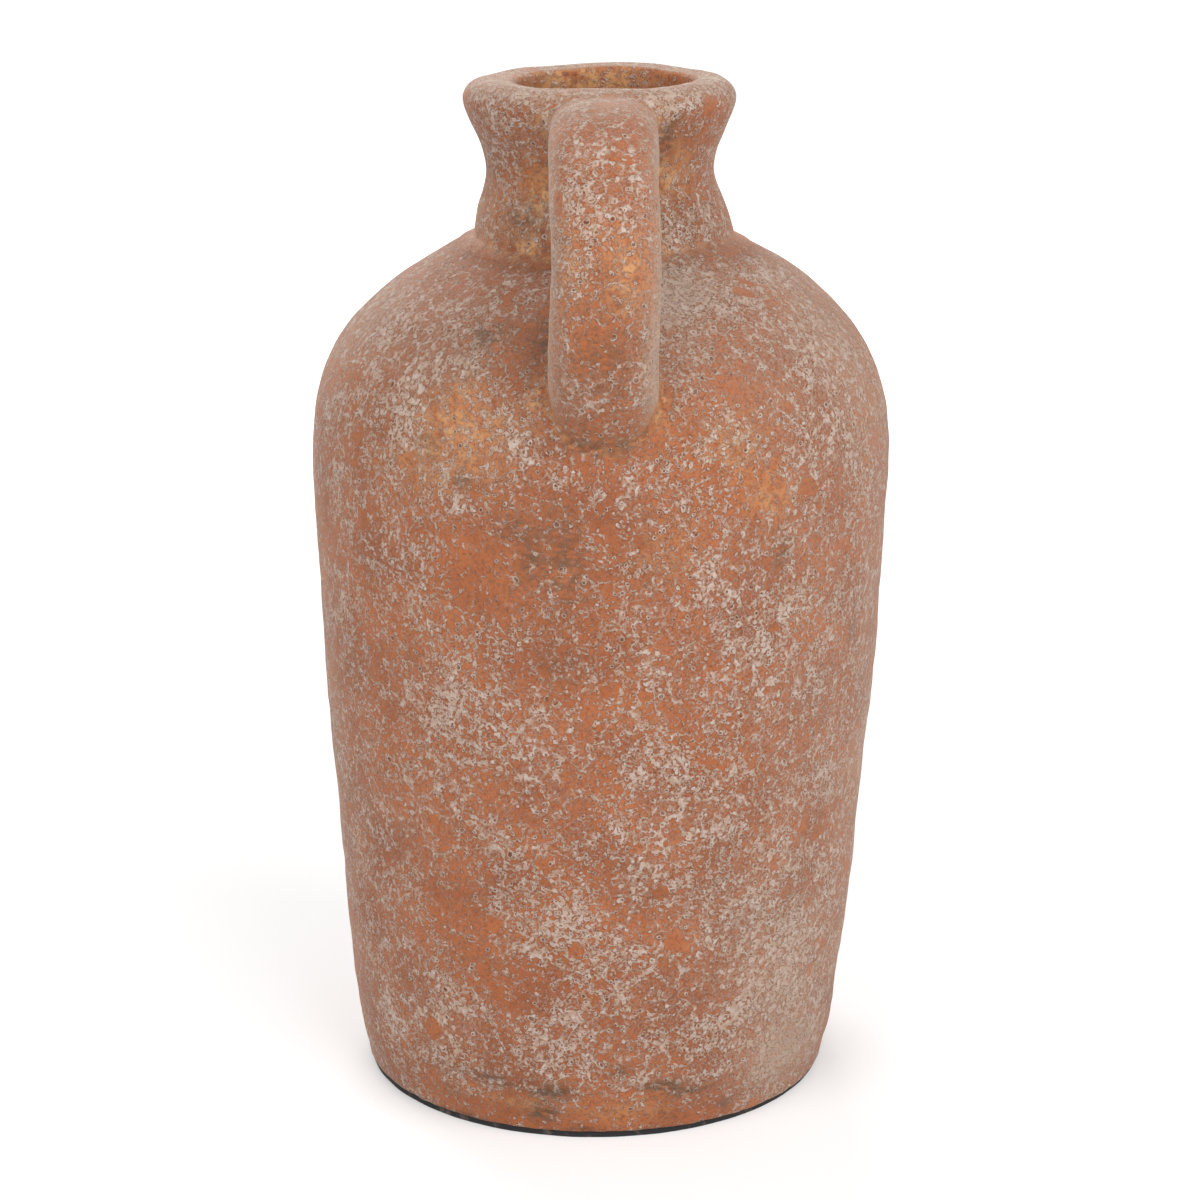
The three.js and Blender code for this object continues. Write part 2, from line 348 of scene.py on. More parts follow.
def closed_mesh(
    name: str, rings: np.ndarray, fields: dict[Field, np.ndarray], looped: bool
) -> bpy.types.Object:
    """Makes a closed object from rings of points, with quads between neighbouring rings.

    Args:
        name: Name of the piece.
        rings: Rows of rings of points, in millimetres.
        fields: Painted values at the same points.
        looped: True joins the last ring to the first; False shuts each end with a fan to its middle.

    Returns:
        The object, smooth shaded, linked and with its faces pointing outwards.
    """
    rows, columns = rings.shape[:2]
    points = rings.reshape(-1, 3)
    index = np.arange(rows * columns).reshape(rows, columns)
    low = index if looped else index[:-1]
    high = np.roll(index, -1, axis=0) if looped else index[1:]
    quads = np.stack([low, np.roll(low, -1, 1), np.roll(high, -1, 1), high], axis=-1).reshape(-1, 4)
    fans = np.zeros((0, 3), int)
    if not looped:
        first, last = index[0], index[-1]
        tips = [np.full(columns, len(points)), np.full(columns, len(points) + 1)]
        fans = np.concatenate([
            np.stack([tips[0], np.roll(first, -1), first], axis=-1),
            np.stack([tips[1], last, np.roll(last, -1)], axis=-1),
        ])
        points = np.vstack([points, rings[0].mean(axis=0), rings[-1].mean(axis=0)])
        fields = {kind: np.append(v, [v[0].mean(), v[-1].mean()]) for kind, v in fields.items()}
    corners = np.concatenate([quads[:, [0, 1, 2]], quads[:, [0, 2, 3]], fans])
    a, b, c = (points[corners[:, k]] for k in range(3))
    if np.einsum("ij,ij->", a, np.cross(b, c)) < 0:
        quads, fans = quads[:, ::-1], fans[:, ::-1]
    mesh = bpy.data.meshes.new(name)
    mesh.vertices.add(len(points))
    mesh.vertices.foreach_set("co", (points * MM).ravel())
    loops = np.concatenate([quads.ravel(), fans.ravel()])
    mesh.loops.add(len(loops))
    mesh.loops.foreach_set("vertex_index", loops)
    starts = np.concatenate([np.arange(len(quads)) * 4, len(quads) * 4 + np.arange(len(fans)) * 3])
    mesh.polygons.add(len(starts))
    mesh.polygons.foreach_set("loop_start", starts)
    mesh.update(calc_edges=True)
    mesh.polygons.foreach_set("use_smooth", np.ones(len(starts), bool))
    mesh.set_sharp_from_angle(angle=CREASE)
    for kind, values in fields.items():
        layer = mesh.attributes.new(kind.value, "FLOAT", "POINT")
        layer.data.foreach_set("value", np.clip(values, 0, 1).ravel())
    return in_scene(name, mesh)


def fit(piece: bpy.types.Object, node: str, material: Material) -> None:
    """Dresses a piece and puts it in the place of its CAD node.

    Args:
        piece: Finished object.
        node: CAD node that it stands for.
        material: Its finish.
    """
    piece.data.materials.append(material)
    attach(piece, "root")
    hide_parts(node)
    log.info("%s: %d faces for %s", piece.name, len(piece.data.polygons), node)


def box_mm(node: str) -> tuple[np.ndarray, np.ndarray]:
    """Lowest and highest corner of a CAD node, in millimetres."""
    low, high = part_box(node)
    return np.array(low) / MM, np.array(high) / MM


# Finishes

SOFT = {"interpolation_type": "SMOOTHSTEP"}
COLOUR = {"out": 2, "data_type": "RGBA"}


def add(
    tree: Tree, kind: str, inputs: dict | tuple = (), out: int | str = 0, **settings: str | bool
) -> Socket | None:
    """Adds a shader node to a tree.

    Args:
        tree: Tree that takes it.
        kind: Blender's name of the node type, without the ShaderNode in front.
        inputs: Values, or outputs to link, in the order of the inputs or by input name or number.
        out: Output that is wanted, by name or number.
        **settings: Properties of the node.

    Returns:
        That output, or nothing for a node without outputs.
    """
    node = tree.nodes.new(f"ShaderNode{kind}")
    for name, value in settings.items():
        setattr(node, name, value)
    for key, value in inputs.items() if isinstance(inputs, dict) else enumerate(inputs):
        if isinstance(value, Socket):
            tree.links.new(value, node.inputs[key])
        else:
            node.inputs[key].default_value = value
    return node.outputs[out] if node.outputs else None


def new_material(name: str) -> tuple[Material, Tree]:
    """Makes an empty node material.

    Args:
        name: Name of the finish.

    Returns:
        The material and its tree.
    """
    material = bpy.data.materials.new(name)
    material.use_nodes = True
    material.node_tree.nodes.clear()
    return material, material.node_tree


@dataclass(frozen=True)
class LimeWashedTerracotta:
    """Terracotta, thrown and fired, with a lime wash that has dried into lace and worn through.

    The clay is a mottled orange brown. The wash lies on it as a raised pale crust, with painted shade in
    its holes and margins: rings of two sizes, which join into a sheet with round holes where it is thick,
    broken strings along veins, a thin foam of curls between them and a few crumbs. Flakes of it have come
    off clean, and fine grit lies between. Handled spots have a coppery shine, and damp has left a few dull
    brown stains; the stain brown also paints shade about the handle.

    Sizes of patterns are in millimetres. A fade is the two levels of a pattern between which a layer comes
    in or goes out, a share is how strongly one layer counts in another, and a gain is a factor and an
    addition.
    """

    clay_dark: str = "#8b4b2a"
    clay: str = "#a35b32"
    # Colour of the painted shade in the crust's holes and margins.
    hollow: str = "#5f3420"
    haze: str = "#b9937c"
    lime: str = "#ad9482"
    lime_white: str = "#bdaea4"
    copper: str = "#ba8a5a"
    # Browns of damp stains, also used for the painted shade about the handle.
    stain: str = "#5f3f28"
    stain_grey: str = "#5a483a"
    sheen: str = "#ecdccf"
    ring: float = 3.2
    ring_edge: float = 0.1
    ring_margin: float = 0.4
    ring_breadth: Pair = (0.34, 0.68)
    bead: float = 1.7
    curl: float = 1.2
    crumb: float = 1.5
    bend: float = 2.6
    bend_reach: float = 2.1
    drift: float = 22.0
    vein: float = 7.0
    coarse: float = 32.0
    flake: float = 5.5
    mottle: float = 24.0
    rub: float = 3.5
    damp: float = 3.5
    damp_flatness: float = 2.2
    chalk: float = 2.4
    grit: float = 0.9
    relief: float = 0.4
    grit_relief: float = 0.06
    drift_share: float = 0.7
    vein_share: float = 0.24
    vein_fade: Pair = (0.02, 0.12)
    bare_level: float = 0.43
    least_held: float = 0.03
    most_held: float = 0.85
    kept_flakes: float = 0.9
    hole_gain: Pair = (0.2, 0.1)
    shrink_gain: Pair = (-0.35, 1.1)
    breadth_fade: Pair = (0.3, 0.85)
    margin_shade: float = 0.7
    coarse_fade: Pair = (0.42, 0.58)
    ring_share: Pair = (0.4, 1.0)
    bead_share: Pair = (1.1, 0.45)
    gather_fade: Pair = (0.15, 0.75)
    foam_share: float = 0.24
    foam_rise: Pair = (0.61, 0.67)
    foam_fall: Pair = (0.72, 0.84)
    foam_least: float = 0.25
    foam_brink: Pair = (0.53, 0.61)
    brink_shade: float = 0.7
    crumb_share: float = 0.26
    crumb_fade: Pair = (0.83, 0.92)
    crumb_cover: float = 0.8
    string_fade: Pair = (0.01, 0.03)
    string_gain: Pair = (5.0, -2.7)
    string_share: float = 1.6
    flank_fade: Pair = (0.024, 0.05)
    flank_shade: float = 0.6
    mottle_fade: Pair = (0.34, 0.62)
    rub_fade: Pair = (0.32, 0.6)
    hollow_shade: float = 0.9
    film_fade: Pair = (0.42, 0.62)
    film_gain: Pair = (0.32, 0.08)
    damp_fade: Pair = (0.36, 0.56)
    grey_fade: Pair = (0.4, 0.8)
    chalk_fade: Pair = (0.4, 0.66)
    grain_fade: Pair = (0.35, 0.65)
    grain_cover: Pair = (0.82, 1.0)
    dry_gain: Pair = (-0.4, 1.0)
    powder_fade: Pair = (0.34, 0.58)
    powder_cover: Pair = (0.3, 1.0)
    gloss_gain: Pair = (-0.3, 0.8)
    metal_share: float = 0.2

    def veins(self, tree: Tree, bent: Socket) -> Socket:
        """Measures how far a place is from the veins, which are the middle contours of a noise.

        Args:
            tree: Node tree.
            bent: Bent place in millimetres.

        Returns:
            The difference from the middle value, 0 on a vein.
        """
        value = add(tree, "TexNoise", {"Vector": bent, "Scale": 1 / self.vein, "Detail": 2.0})
        off = add(tree, "Math", (value, 0.5), operation="SUBTRACT")
        return add(tree, "Math", (off,), operation="ABSOLUTE")

    def held(self, tree: Tree, mm: Socket, bent: Socket, gap: Socket) -> Socket:
        """Works out how much crust a place holds, 0 to 1: the painted amount, drifting over centimetres,
        gathered along veins, and gone where a flake came off.

        Args:
            tree: Node tree.
            mm: Place in millimetres.
            bent: The same, bent so that no pattern runs straight.
            gap: Distance from the veins.

        Returns:
            The amount.
        """
        crust = add(tree, "Attribute", out="Fac", attribute_name=Field.CRUST.value)
        drift = add(tree, "TexNoise", {"Vector": mm, "Scale": 1 / self.drift, "Detail": 3.0})
        vein = add(tree, "MapRange", (gap, *self.vein_fade, 1.0, 0.0), **SOFT)
        near = add(tree, "Math", (drift, self.drift_share, crust), operation="MULTIPLY_ADD")
        near = add(tree, "Math", (vein, self.vein_share, near), operation="MULTIPLY_ADD")
        near = add(tree, "Math", (near, self.bare_level), operation="SUBTRACT")
        near = add(tree, "Clamp", (near, self.least_held, self.most_held))
        cell = add(tree, "TexVoronoi", {"Vector": bent, "Scale": 1 / self.flake}, "Color")
        kept = add(tree, "Math", (cell, self.kept_flakes), operation="LESS_THAN")
        return add(tree, "Math", (near, kept), operation="MULTIPLY")

    def bubbles(
        self, tree: Tree, bent: Socket, held: Socket, size: float, share: Socket
    ) -> tuple[Socket, Socket]:
        """Draws the wash dried round bubbles of one size: a ring at each bubble that the amount reaches,
        thin where little is held, and so broad where much is held that they join into a sheet with holes.

        Args:
            tree: Node tree.
            bent: Bent place in millimetres.
            held: How much crust the place holds.
            size: Distance between bubbles in millimetres.
            share: Share of the bubbles that show where the crust is full.

        Returns:
            The wash, and the painted shade in its holes and in margins round it, each 0 to 1.
        """
        cells = {"Vector": bent, "Scale": 1 / size}
        edge = self.ring_edge / size
        thin, broad = (width / size for width in self.ring_breadth)
        reach, lots = (add(tree, "TexVoronoi", cells, part) for part in ("Distance", "Color"))
        lot, turn = (add(tree, "SeparateColor", (lots,), part) for part in ("Red", "Green"))
        hole = add(tree, "Math", (lot, *self.hole_gain), operation="MULTIPLY_ADD")
        shrink = add(tree, "Math", (held, *self.shrink_gain), operation="MULTIPLY_ADD")
        hole = add(tree, "Math", (hole, shrink), operation="MULTIPLY")
        beyond = add(tree, "Math", (reach, hole), operation="SUBTRACT")
        inner = add(tree, "MapRange", (beyond, -edge, edge), **SOFT)
        breadth = add(tree, "MapRange", (held, *self.breadth_fade, thin, broad), **SOFT)
        past = add(tree, "Math", (beyond, breadth), operation="SUBTRACT")
        outer = add(tree, "MapRange", (past, -edge, edge, 1.0, 0.0), **SOFT)
        # Painted shade in a margin just outside each ring.
        margin = add(tree, "MapRange", (past, edge, self.ring_margin / size, self.margin_shade, 0.0))
        there = add(tree, "Math", (held, share), operation="MULTIPLY")
        there = add(tree, "Math", (turn, there), operation="LESS_THAN")
        ring = add(tree, "Math", (inner, outer), operation="MULTIPLY")
        ring = add(tree, "Math", (ring, there), operation="MULTIPLY")
        hollow = add(tree, "Math", (there, inner), operation="SUBTRACT", use_clamp=True)
        margin = add(tree, "Math", (margin, there), operation="MULTIPLY")
        return ring, add(tree, "Math", (hollow, margin), operation="MAXIMUM")

    def lace(self, tree: Tree, bent: Socket, held: Socket, gap: Socket) -> tuple[Socket, Socket]:
        """Draws the crust: bubbles of two sizes, broken strings along the veins, a thin foam of curls
        between them, and solid crumbs.

        Args:
            tree: Node tree.
            bent: Bent place in millimetres.
            held: How much crust the place holds.
            gap: Distance from the veins.

        Returns:
            The crust, 0 to 1 with soft edges, and the painted shade in its hollows and margins.
        """
        coarse = add(tree, "TexNoise", {"Vector": bent, "Scale": 1 / self.coarse, "Detail": 1.0})
        large = add(tree, "MapRange", (coarse, *self.coarse_fade, *self.ring_share))
        small = add(tree, "MapRange", (coarse, *self.coarse_fade, *self.bead_share))
        gathered = add(tree, "MapRange", (held, *self.gather_fade, 0.0, self.most_held))
        rings, ring_shade = self.bubbles(tree, bent, gathered, self.ring, large)
        beads, bead_shade = self.bubbles(tree, bent, held, self.bead, small)
        curl, crumb = (
            add(tree, "TexNoise", {"Vector": bent, "Scale": 1 / size, "Detail": 1.0, "Roughness": 0.5})
            for size in (self.curl, self.crumb)
        )
        above = add(tree, "Math", (held, self.foam_share, curl), operation="MULTIPLY_ADD")
        rise = add(tree, "MapRange", (above, *self.foam_rise), **SOFT)
        fall = add(tree, "MapRange", (above, *self.foam_fall), **SOFT)
        foam = add(tree, "Math", (rise, fall), operation="SUBTRACT", use_clamp=True)
        thick = add(tree, "Math", (held, self.foam_least), operation="ADD", use_clamp=True)
        foam = add(tree, "Math", (foam, thick), operation="MULTIPLY")
        foam = add(tree, "Math", (foam, small), operation="MULTIPLY", use_clamp=True)
        brink = add(tree, "MapRange", (above, *self.foam_brink, 0.0, self.brink_shade), **SOFT)
        crumb = add(tree, "Math", (held, self.crumb_share, crumb), operation="MULTIPLY_ADD")
        crumb = add(tree, "MapRange", (crumb, *self.crumb_fade, 0.0, self.crumb_cover), **SOFT)
        string = add(tree, "MapRange", (gap, *self.string_fade, 1.0, 0.0), **SOFT)
        unbroken = add(tree, "Math", (curl, *self.string_gain), operation="MULTIPLY_ADD")
        unbroken = add(
            tree, "Math", (held, self.string_share, unbroken), operation="MULTIPLY_ADD", use_clamp=True
        )
        string = add(tree, "Math", (string, unbroken), operation="MULTIPLY")
        # Painted shade along both sides of the strings.
        flank = add(tree, "MapRange", (gap, *self.flank_fade, self.flank_shade, 0.0))
        flank = add(tree, "Math", (flank, unbroken), operation="MULTIPLY")
        wash, hollow = rings, ring_shade
        for layer in (beads, string, foam, crumb):
            wash = add(tree, "Math", (wash, layer), operation="MAXIMUM")
        for shade in (bead_shade, flank, brink):
            hollow = add(tree, "Math", (hollow, shade), operation="MAXIMUM")
        return wash, add(tree, "Math", (hollow, wash), operation="SUBTRACT", use_clamp=True)

    def material(self) -> Material:
        """Builds the layered finish.

        Returns:
            Its material.
        """
        material, tree = new_material("lime_washed_terracotta")
        place = add(tree, "TexCoord", out="Object")
        mm = add(tree, "VectorMath", {0: place, "Scale": 1 / MM}, operation="SCALE")
        bend = add(tree, "TexNoise", {"Vector": mm, "Scale": 1 / self.bend, "Detail": 2.5}, "Color")
        bent = add(tree, "VectorMath", (bend, (self.bend_reach,) * 3, mm), operation="MULTIPLY_ADD")
        # The stain field carries both damp stains and painted shade about the handle.
        dust, copper, stain = (
            add(tree, "Attribute", out="Fac", attribute_name=kind.value)
            for kind in (Field.DUST_AND_SHEEN, Field.COPPER, Field.STAIN_AND_SHADE)
        )
        gap = self.veins(tree, bent)
        held = self.held(tree, mm, bent, gap)
        wash, hollow = self.lace(tree, bent, held, gap)

        # Bare clay is mottled, with rubbed copper, painted shade in the hollows and margins of the crust,
        # and a film of grit.
        flat = add(tree, "VectorMath", (mm, (1, 1, self.damp_flatness)), operation="MULTIPLY")
        mottle, patch, chalk, damp = (
            add(tree, "MapRange", (
                add(tree, "TexNoise", {"Vector": spread, "Scale": 1 / size, "Detail": detail}), *fade,
            ))
            for spread, size, detail, fade in (
                (mm, self.mottle, 5.0, self.mottle_fade),
                (mm, self.rub, 4.0, self.rub_fade),
                (mm, self.chalk, 2.0, self.chalk_fade),
                (flat, self.damp, 4.0, self.damp_fade),
            )
        )
        rubbed = add(tree, "Math", (copper, patch), operation="MULTIPLY")
        # Painted shade: the hollow colour laid over the holes and margins of the crust.
        shade = add(tree, "Math", (hollow, self.hollow_shade), operation="MULTIPLY")
        grit = add(tree, "TexNoise", {"Vector": mm, "Scale": 1 / self.grit, "Detail": 1.5})
        film = add(tree, "MapRange", (grit, *self.film_fade))
        share = add(tree, "Math", (held, *self.film_gain), operation="MULTIPLY_ADD")
        film = add(tree, "Math", (film, share), operation="MULTIPLY")

        # Crust is whiter where it is thick, damp stains and painted shade sink into it less, and loose
        # dust, which also paints sheen along the sides, lies over all.
        pale = {0: chalk, 6: hex_linear(self.lime), 7: hex_linear(self.lime_white)}
        grain = add(tree, "MapRange", (grit, *self.grain_fade, *self.grain_cover))
        cover = add(tree, "Math", (wash, grain), operation="MULTIPLY")
        damp = add(tree, "Math", (damp, stain), operation="MULTIPLY")
        dry = add(tree, "Math", (cover, *self.dry_gain), operation="MULTIPLY_ADD")
        damp = add(tree, "Math", (damp, dry), operation="MULTIPLY")
        grey = add(tree, "MapRange", (patch, *self.grey_fade))
        brown = {0: grey, 6: hex_linear(self.stain), 7: hex_linear(self.stain_grey)}
        powder = add(tree, "MapRange", (grit, *self.powder_fade, *self.powder_cover))
        powder = add(tree, "Math", (powder, dust), operation="MULTIPLY")
        colour = hex_linear(self.clay_dark)
        for amount, layer in (
            (mottle, hex_linear(self.clay)),
            (rubbed, hex_linear(self.copper)),
            (shade, hex_linear(self.hollow)),
            (film, hex_linear(self.haze)),
            (cover, add(tree, "Mix", pale, **COLOUR)),
            (damp, add(tree, "Mix", brown, **COLOUR)),
            (powder, hex_linear(self.lime)),
        ):
            colour = add(tree, "Mix", {0: amount, 6: colour, 7: layer}, **COLOUR)

        low = add(tree, "Math", (grit, self.grit_relief * MM), operation="MULTIPLY")
        height = add(tree, "Math", (wash, self.relief * MM, low), operation="MULTIPLY_ADD")
        shader = add(tree, "BsdfPrincipled", {
            "Base Color": colour,
            "Roughness": add(tree, "Math", (rubbed, *self.gloss_gain), operation="MULTIPLY_ADD"),
            "Metallic": add(tree, "Math", (rubbed, self.metal_share), operation="MULTIPLY"),
            "IOR": 1.5,
            "Specular IOR Level": 0.3,
            "Sheen Weight": 0.2,
            "Sheen Roughness": 0.45,
            "Sheen Tint": hex_linear(self.sheen),
            "Normal": add(tree, "Bump", {"Height": height, "Distance": 1.0, "Strength": 1.0}),
        })
        add(tree, "OutputMaterial", {"Surface": shader})
        return material


@dataclass(frozen=True)
class BlackRubberSheet:
    """Natural rubber sheet, calendered black: dull, with a fine grain and some pale dust on its edge."""

    rubber: str = "#1a181a"
    dust: str = "#6a5d55"
    grain: float = 0.9
    grain_relief: float = 0.1
    dusting: float = 5.0
    dust_fade: Pair = (0.58, 0.72)
    dust_cover: float = 0.6

    def material(self) -> Material:
        """Builds the pad's finish.

        Returns:
            Its material.
        """
        material, tree = new_material("black_rubber_sheet")
        place = add(tree, "TexCoord", out="Object")
        fine, broad = (
            add(tree, "TexNoise", {"Vector": place, "Scale": 1 / (size * MM), "Detail": detail})
            for size, detail in ((self.grain, 3.0), (self.dusting, 4.0))
        )
        dusty = add(tree, "MapRange", (broad, *self.dust_fade, 0.0, self.dust_cover))
        colours = {0: dusty, 6: hex_linear(self.rubber), 7: hex_linear(self.dust)}
        relief = {"Height": fine, "Distance": self.grain_relief * MM, "Strength": 0.6}
        shader = add(tree, "BsdfPrincipled", {
            "Base Color": add(tree, "Mix", colours, **COLOUR),
            "Roughness": 0.85,
            "IOR": 1.52,
            "Normal": add(tree, "Bump", relief),
        })
        add(tree, "OutputMaterial", {"Surface": shader})
        return material


# Pieces

Patches = dict[Field, Spots]
TOE_BELOW_SEAT = 3.4
HIDDEN_SIDE = ((75, 10, 10, 8), (285, 345, 26, 20))


def scattered(seed: int, count: int, amounts: Pair) -> Spots:
    """Scatters patches over the side of the pot that the photograph doesn't show.

    Args:
        seed: Seed of the draws.
        count: Number of patches.
        amounts: Lowest and highest amount.

    Returns:
        The patches, with places and half sizes between the two rows of HIDDEN_SIDE.
    """
    low, high = ((*row, amount) for row, amount in zip(HIDDEN_SIDE, amounts))
    return spots(*np.random.default_rng(seed).uniform(low, high, (count, 5)))


CLAY_BASE = {Field.CRUST: 0.38, Field.DUST_AND_SHEEN: 0.0, Field.COPPER: 0.05, Field.STAIN_AND_SHADE: 0.0}
POT_SPOTS: Patches = {
    Field.CRUST: spots(
        (-52, 278, 14, 14, 0.2), (-28, 288, 14, 8, 0.05), (-15, 277, 10, 10, -0.35),
        (-31, 252, 13, 13, -0.2), (-38, 262, 9, 8, 0.25), (-14, 250, 7, 6, 0.45), (-41, 264, 5, 14, 0.3),
        (-30, 272, 8, 5, 0.25), (-28, 228.5, 3, 3, 0.5), (0, 250, 20, 10, -0.4),
        (31, 258, 11, 14, -0.15), (18, 287, 10, 9, 0.35), (30, 293, 20, 8, 0.42), (31, 264, 9, 7, -0.2),
        (46, 249, 12, 10, 0.2), (58, 267, 16, 24, 0.36), (34, 230, 10, 10, -0.3),
        (-6, 212, 10, 16, -0.25), (-26, 204, 12, 18, -0.4), (-10, 182, 14, 18, -0.3),
        (21, 176, 8, 10, -0.2), (-50, 165, 8, 45, -0.2), (10, 214, 14, 12, -0.2),
        (27, 182, 14, 22, 0.15), (10, 167, 10, 9, 0.18), (-30, 150, 12, 20, 0.08),
        (-14, 150, 10, 12, 0.1), (-33, 78, 11, 22, -0.35), (-13, 90, 14, 20, 0.08),
        (-23, 97, 9, 10, -0.12), (-18, 62, 16, 12, -0.25), (-9, 105, 7, 6, -0.35), (2, 101, 6, 5, -0.35),
        (7, 100, 4, 7, 0.3), (5, 55, 25, 25, 0.12), (44, 56, 22, 46, 0.38), (-57, 32, 7, 10, 0.3),
        (-25, 47, 10, 10, 0.1), (-38, 40, 12, 14, 0.27), (60, 22, 18, 14, 0.25), (17, 124, 14, 18, 0.2),
        (34, 158, 10, 16, 0.15), (0, 226, 8, 10, -0.2), (0, 182, 8, 10, -0.2), (0, 128, 8, 10, -0.2),
        (-17, 207, 10, 10, -0.15), (-19, 222, 11, 16, -0.2), (-11, 36, 12, 14, 0.12),
        (-28, 8, 25, 7, -0.4), (8, 8, 40, 8, -0.45), (70, 170, 14, 90, 0.1), (0, 355, ROUND, 6, 0.2),
        (42, 312, 12, 8, 0.25), (36, 332, 14, 12, -0.3), (-30, 322, 8, 8, -0.3), (-11, 260, 5, 9, -0.3),
        (12, 262, 4, 9, -0.3), (-60, 335, 12, 10, 0.2), (178, 345, 26, 9, -0.35),
        (-46, 213, 10, 14, -0.12), (-22, 273, 9, 8, -0.1), (22, 147, 10, 10, -0.1),
        (47, 82, 12, 14, -0.1), (46, 270, 10, 12, 0.1), (0, 248, 12, 5, -0.15),
    ) + scattered(41, 40, (-0.4, 0.35)),
    # Dust: on the rim, the shoulder and the foot; the tall strips at about 75 degrees either side also
    # paint sheen where the pot turns from view.
    Field.DUST_AND_SHEEN: spots(
        (0, 356.5, ROUND, 5.5, 0.55), (-75, 270, 16, 30, 0.25), (0, 279, ROUND, 16, 0.15),
        (20, 284, 12, 14, 0.2), (64, 262, 20, 30, 0.35), (75, 150, 14, 120, 0.2),
        (-75, 120, 14, 120, 0.12), (50, 42, 20, 34, 0.5), (52, 170, 24, 80, 0.18), (25, 293, 18, 6, 0.5),
        (36, 264, 12, 12, 0.2), (34, 80, 20, 30, 0.2), (50, 20, 22, 11, 0.6),
    ) + scattered(53, 8, (0.1, 0.35)),
    # Copper: rubbed patches; the patch at 170 degrees inside the mouth is partly painted light on its back
    # wall.
    Field.COPPER: spots(
        (-33, 253, 9, 8, 0.65), (-29, 265, 6, 5, 0.6), (-22, 252, 12, 10, 0.5), (-30, 238, 14, 8, 0.4),
        (-36, 247, 26, 14, 0.3), (26, 249, 10, 9, 0.7), (34, 229, 9, 10, 0.6), (12, 215, 12, 12, 0.3),
        (-28, 322, 10, 12, 0.85), (170, 345, 20, 9, 1.0), (-12.3, 263, 3, 7, 0.9), (12, 262, 3, 9, 0.7),
        (-23, 346, 5, 6, 0.9), (23, 346, 5, 6, 1.0), (27, 328, 8, 5, 0.7), (-30, 316, 8, 5, 0.6),
        (-50, 312, 14, 10, 0.4), (36, 326, 12, 14, 0.55), (-18, 13, 16, 3, 0.5), (8, 10, 14, 4, 0.5),
    ) + scattered(43, 14, (0.2, 0.7)),
    # Stain: dark smears round the foot and on the belly, and painted shade beside and below the handle and
    # on the neck beside it.
    Field.STAIN_AND_SHADE: spots(
        (-6, 212, 7, 16, 0.75), (-8, 176, 7, 8, 0.5), (-13, 210, 3, 6, 0.8), (-15, 222, 7, 5, 0.6),
        (-13, 279, 4, 6, 0.9), (-28, 280, 6, 4, 0.6), (-35, 246, 5, 5, 0.5), (-27, 236, 4, 3, 0.6),
        (37, 210, 4, 6, 0.7), (60, 175, 4, 8, 0.6), (-26, 21.5, 18, 2.4, 0.85), (-10, 18.5, 8, 2.4, 1.3),
        (5.5, 27, 5, 2, 1.0), (15, 20, 8, 2.2, 1.1), (22, 16.5, 10, 2.2, 0.9), (-12, 9.5, 6, 4, 1.1),
        (-36, 13, 6, 5, 0.4), (33, 8, 5, 3, 0.7), (-3, 3.5, 5, 1.5, 1.0), (-32, 3, 7, 1.5, 0.8),
        (0, 250, 20, 5, 0.45), (-17, 206, 14, 14, 0.2), (-41, 313, 7, 6, 0.7), (-36, 335, 15, 11, 0.22),
        (-24, 318, 6, 8, 0.2), (-32, 276, 22, 12, 0.35), (-55, 250, 16, 20, 0.2),
        (-20, 235, 14, 10, 0.25), (48, 312, 14, 8, 0.35), (20, 318, 5, 14, 0.5), (30, 340, 4, 9, 0.8),
        (110, 16, 30, 3, 0.7), (-140, 18, 30, 3, 0.7),
    ) + scattered(47, 12, (0.2, 0.6)),
}
JOINT_SPOTS: Patches = {
    Field.CRUST: spots(
        (0, 300, ROUND, 3.0, -0.45), (-27, 304, 12, 4, -0.4), (31, 299, 14, 4, 0.35),
    ),
    Field.COPPER: spots(
        (0, 302, ROUND, 1.5, 0.3), (-27, 304, 12, 3.5, 1.0), (28, 303.5, 12, 2.5, 0.7),
    ),
    Field.STAIN_AND_SHADE: spots(
        (0, 298, ROUND, 1.4, 0.35),
    ),
}
STRAP_SPOTS: Patches = {
    Field.CRUST: spots(
        (-1, 334, 11, 11, 0.24), (0, 302, 14, 14, -0.12), (-2, 350, 16, 5, -0.15), (0, 270, 16, 9, 0.2),
        (0, 287, 9, 9, -0.3),
    ),
    Field.DUST_AND_SHEEN: spots(
        (0, 279, 20, 16, -0.15), (9.5, 276, 4, 20, 0.5),
    ),
    Field.COPPER: spots(
        (4, 308, 7, 14, 0.75), (-5, 312, 5, 12, 0.6),
    ),
    # Stain on the strap: painted shade on its lower half, where it turns under, and a dark patch at its
    # top under the lip.
    Field.STAIN_AND_SHADE: spots(
        (0, 279, 18, 20, 0.45), (-4, 352, 9, 3, 0.4),
    ),
}


def clay_fields(points: np.ndarray, own: Patches | None = None) -> dict[Field, np.ndarray]:
    """Paints the fields of the clay finish at points.

    Args:
        points: Array whose last axis is x, y and z.
        own: Patches that only this piece has.

    Returns:
        The values of each field: a base value, the pot's patches and the piece's own.
    """
    patches = {kind: POT_SPOTS[kind] + (own or {}).get(kind, ()) for kind in Field}
    return {kind: painted(points, CLAY_BASE[kind], patches[kind]) for kind in Field}


